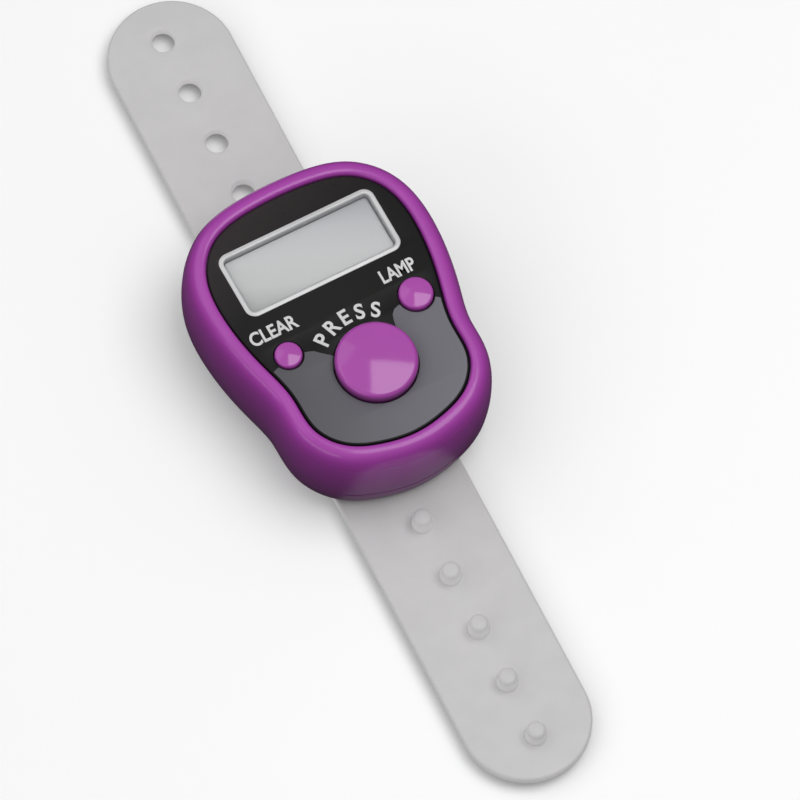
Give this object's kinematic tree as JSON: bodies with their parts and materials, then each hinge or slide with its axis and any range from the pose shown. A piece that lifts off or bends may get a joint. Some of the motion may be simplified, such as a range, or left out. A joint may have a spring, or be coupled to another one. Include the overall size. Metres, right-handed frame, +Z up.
{
  "type": "hand tally counter",
  "caption": "Finger-worn tally counter: pear-shaped housing with a display and push buttons on a soft strap that closes round a finger with pegs and holes.",
  "frame": {"origin": "midway between the two strap tips, at the level of the underside of the strap loops", "axes": "+Z up out of the fascia, +Y towards the display end, +X to the right of the display"},
  "size_m": [0.0304, 0.1062, 0.0155],
  "materials": {
    "purple_plastic": "glossy injection moulding, slightly satin on the side walls",
    "rear_plastic": "fine texture",
    "black_panel": "printed black behind a clear gloss face",
    "silver_frame": "satin silver",
    "clear_window": "clear polished",
    "lcd_grey": "grey liquid-crystal display",
    "diffuser": "frosted",
    "strap_silicone": "translucent satin silicone",
    "board_green": "solder mask",
    "epoxy_black": "black epoxy",
    "ceramic": "ceramic body",
    "spring_steel": "nickel plated",
    "screw_steel": "zinc plated",
    "cell_steel": "stainless can",
    "conductive_rubber": "striped silicone"
  },
  "bodies": {
    "housing": {"front_shell": "purple_plastic", "fascia_panel": "black_panel", "display_frame": "silver_frame", "display_lens": "clear_window", "rear_cover": "rear_plastic", "battery_door": "rear_plastic", "strap_centre": "strap_silicone", "front_polariser": "lcd_grey", "lcd_glass": "lcd_grey", "light_guide": "diffuser", "reflector_sheet": "diffuser", "zebra_connector": "conductive_rubber", "backlight_led": "diffuser", "circuit_board": "board_green", "controller_chip": "epoxy_black", "resistors": "epoxy_black", "capacitors": "ceramic", "button_cells": "cell_steel", "battery_bridge": "spring_steel", "negative_contact": "spring_steel", "positive_contact": "spring_steel", "count_dome": "spring_steel", "reset_dome": "spring_steel", "led_dome": "spring_steel", "case_screws": "screw_steel", "board_screws": "screw_steel", "door_screw": "screw_steel"},
    "count_button": {"count_button": "purple_plastic"},
    "reset_button": {"reset_button": "purple_plastic"},
    "led_button": {"led_button": "purple_plastic"},
    "hole_arm_1": {"hole_arm_1": "strap_silicone"},
    "hole_arm_2": {"hole_arm_2": "strap_silicone"},
    "hole_arm_3": {"hole_arm_3": "strap_silicone"},
    "hole_arm_4": {"hole_arm_4": "strap_silicone"},
    "hole_arm_5": {"hole_arm_5": "strap_silicone"},
    "peg_arm_1": {"peg_arm_1": "strap_silicone"},
    "peg_arm_2": {"peg_arm_2": "strap_silicone"},
    "peg_arm_3": {"peg_arm_3": "strap_silicone"},
    "peg_arm_4": {"peg_arm_4": "strap_silicone"},
    "peg_arm_5": {"peg_arm_5": "strap_silicone"}
  },
  "joints": [
    {"name": "count_press", "type": "slide", "parent": "housing", "child": "count_button", "axis": [0, 0, -1], "range_m": [0, 0.0008], "stiffness_N_per_m": 1200},
    {"name": "reset_press", "type": "slide", "parent": "housing", "child": "reset_button", "axis": [0, 0, -1], "range_m": [0, 0.0004], "stiffness_N_per_m": 1500},
    {"name": "led_press", "type": "slide", "parent": "housing", "child": "led_button", "axis": [0, 0, -1], "range_m": [0, 0.0004], "stiffness_N_per_m": 1500},
    {"name": "hole_arm_bend_1", "type": "hinge", "parent": "housing", "child": "hole_arm_1", "pos_m": [-0.00068, 0.01434, 0.0011], "axis": [-0.9993, 0.0384, 0], "range_deg": [0, 30], "stiffness_Nm_per_rad": 0.00172},
    {"name": "hole_arm_bend_2", "type": "hinge", "parent": "hole_arm_1", "child": "hole_arm_2", "pos_m": [-0.00062, 0.01594, 0.0011], "axis": [-0.9993, 0.0384, 0], "range_deg": [0, 30], "stiffness_Nm_per_rad": 0.00172},
    {"name": "hole_arm_bend_3", "type": "hinge", "parent": "hole_arm_2", "child": "hole_arm_3", "pos_m": [-0.00055, 0.01754, 0.0011], "axis": [-0.9993, 0.0384, 0], "range_deg": [0, 30], "stiffness_Nm_per_rad": 0.00172},
    {"name": "hole_arm_bend_4", "type": "hinge", "parent": "hole_arm_3", "child": "hole_arm_4", "pos_m": [-0.00001, 0.03183, 0.0011], "axis": [-0.9993, 0.0384, 0], "range_deg": [0, 45], "stiffness_Nm_per_rad": 0.00172},
    {"name": "hole_arm_bend_5", "type": "hinge", "parent": "hole_arm_4", "child": "hole_arm_5", "pos_m": [0.00014, 0.03562, 0.0011], "axis": [-0.9993, 0.0384, 0], "range_deg": [0, 45], "stiffness_Nm_per_rad": 0.00172},
    {"name": "peg_arm_bend_1", "type": "hinge", "parent": "housing", "child": "peg_arm_1", "pos_m": [-0.00155, -0.00844, 0.0011], "axis": [0.9993, -0.0384, 0], "range_deg": [0, 30], "stiffness_Nm_per_rad": 0.00172},
    {"name": "peg_arm_bend_2", "type": "hinge", "parent": "peg_arm_1", "child": "peg_arm_2", "pos_m": [-0.00168, -0.01186, 0.0011], "axis": [0.9993, -0.0384, 0], "range_deg": [0, 30], "stiffness_Nm_per_rad": 0.00172},
    {"name": "peg_arm_bend_3", "type": "hinge", "parent": "peg_arm_2", "child": "peg_arm_3", "pos_m": [-0.00182, -0.01528, 0.0011], "axis": [0.9993, -0.0384, 0], "range_deg": [0, 30], "stiffness_Nm_per_rad": 0.00172},
    {"name": "peg_arm_bend_4", "type": "hinge", "parent": "peg_arm_3", "child": "peg_arm_4", "pos_m": [-0.00218, -0.02484, 0.0011], "axis": [0.9993, -0.0384, 0], "range_deg": [0, 45], "stiffness_Nm_per_rad": 0.00172},
    {"name": "peg_arm_bend_5", "type": "hinge", "parent": "peg_arm_4", "child": "peg_arm_5", "pos_m": [-0.00237, -0.02983, 0.0011], "axis": [0.9993, -0.0384, 0], "range_deg": [0, 45], "stiffness_Nm_per_rad": 0.00172}
  ],
  "couplings": [
    {"joint": "hole_arm_bend_2", "follows": "hole_arm_bend_1", "ratio": 1},
    {"joint": "hole_arm_bend_3", "follows": "hole_arm_bend_1", "ratio": 1},
    {"joint": "hole_arm_bend_4", "follows": "hole_arm_bend_1", "ratio": 1.5},
    {"joint": "hole_arm_bend_5", "follows": "hole_arm_bend_1", "ratio": 1.5},
    {"joint": "peg_arm_bend_2", "follows": "peg_arm_bend_1", "ratio": 1},
    {"joint": "peg_arm_bend_3", "follows": "peg_arm_bend_1", "ratio": 1},
    {"joint": "peg_arm_bend_4", "follows": "peg_arm_bend_1", "ratio": 1.5},
    {"joint": "peg_arm_bend_5", "follows": "peg_arm_bend_1", "ratio": 1.5}
  ]
}
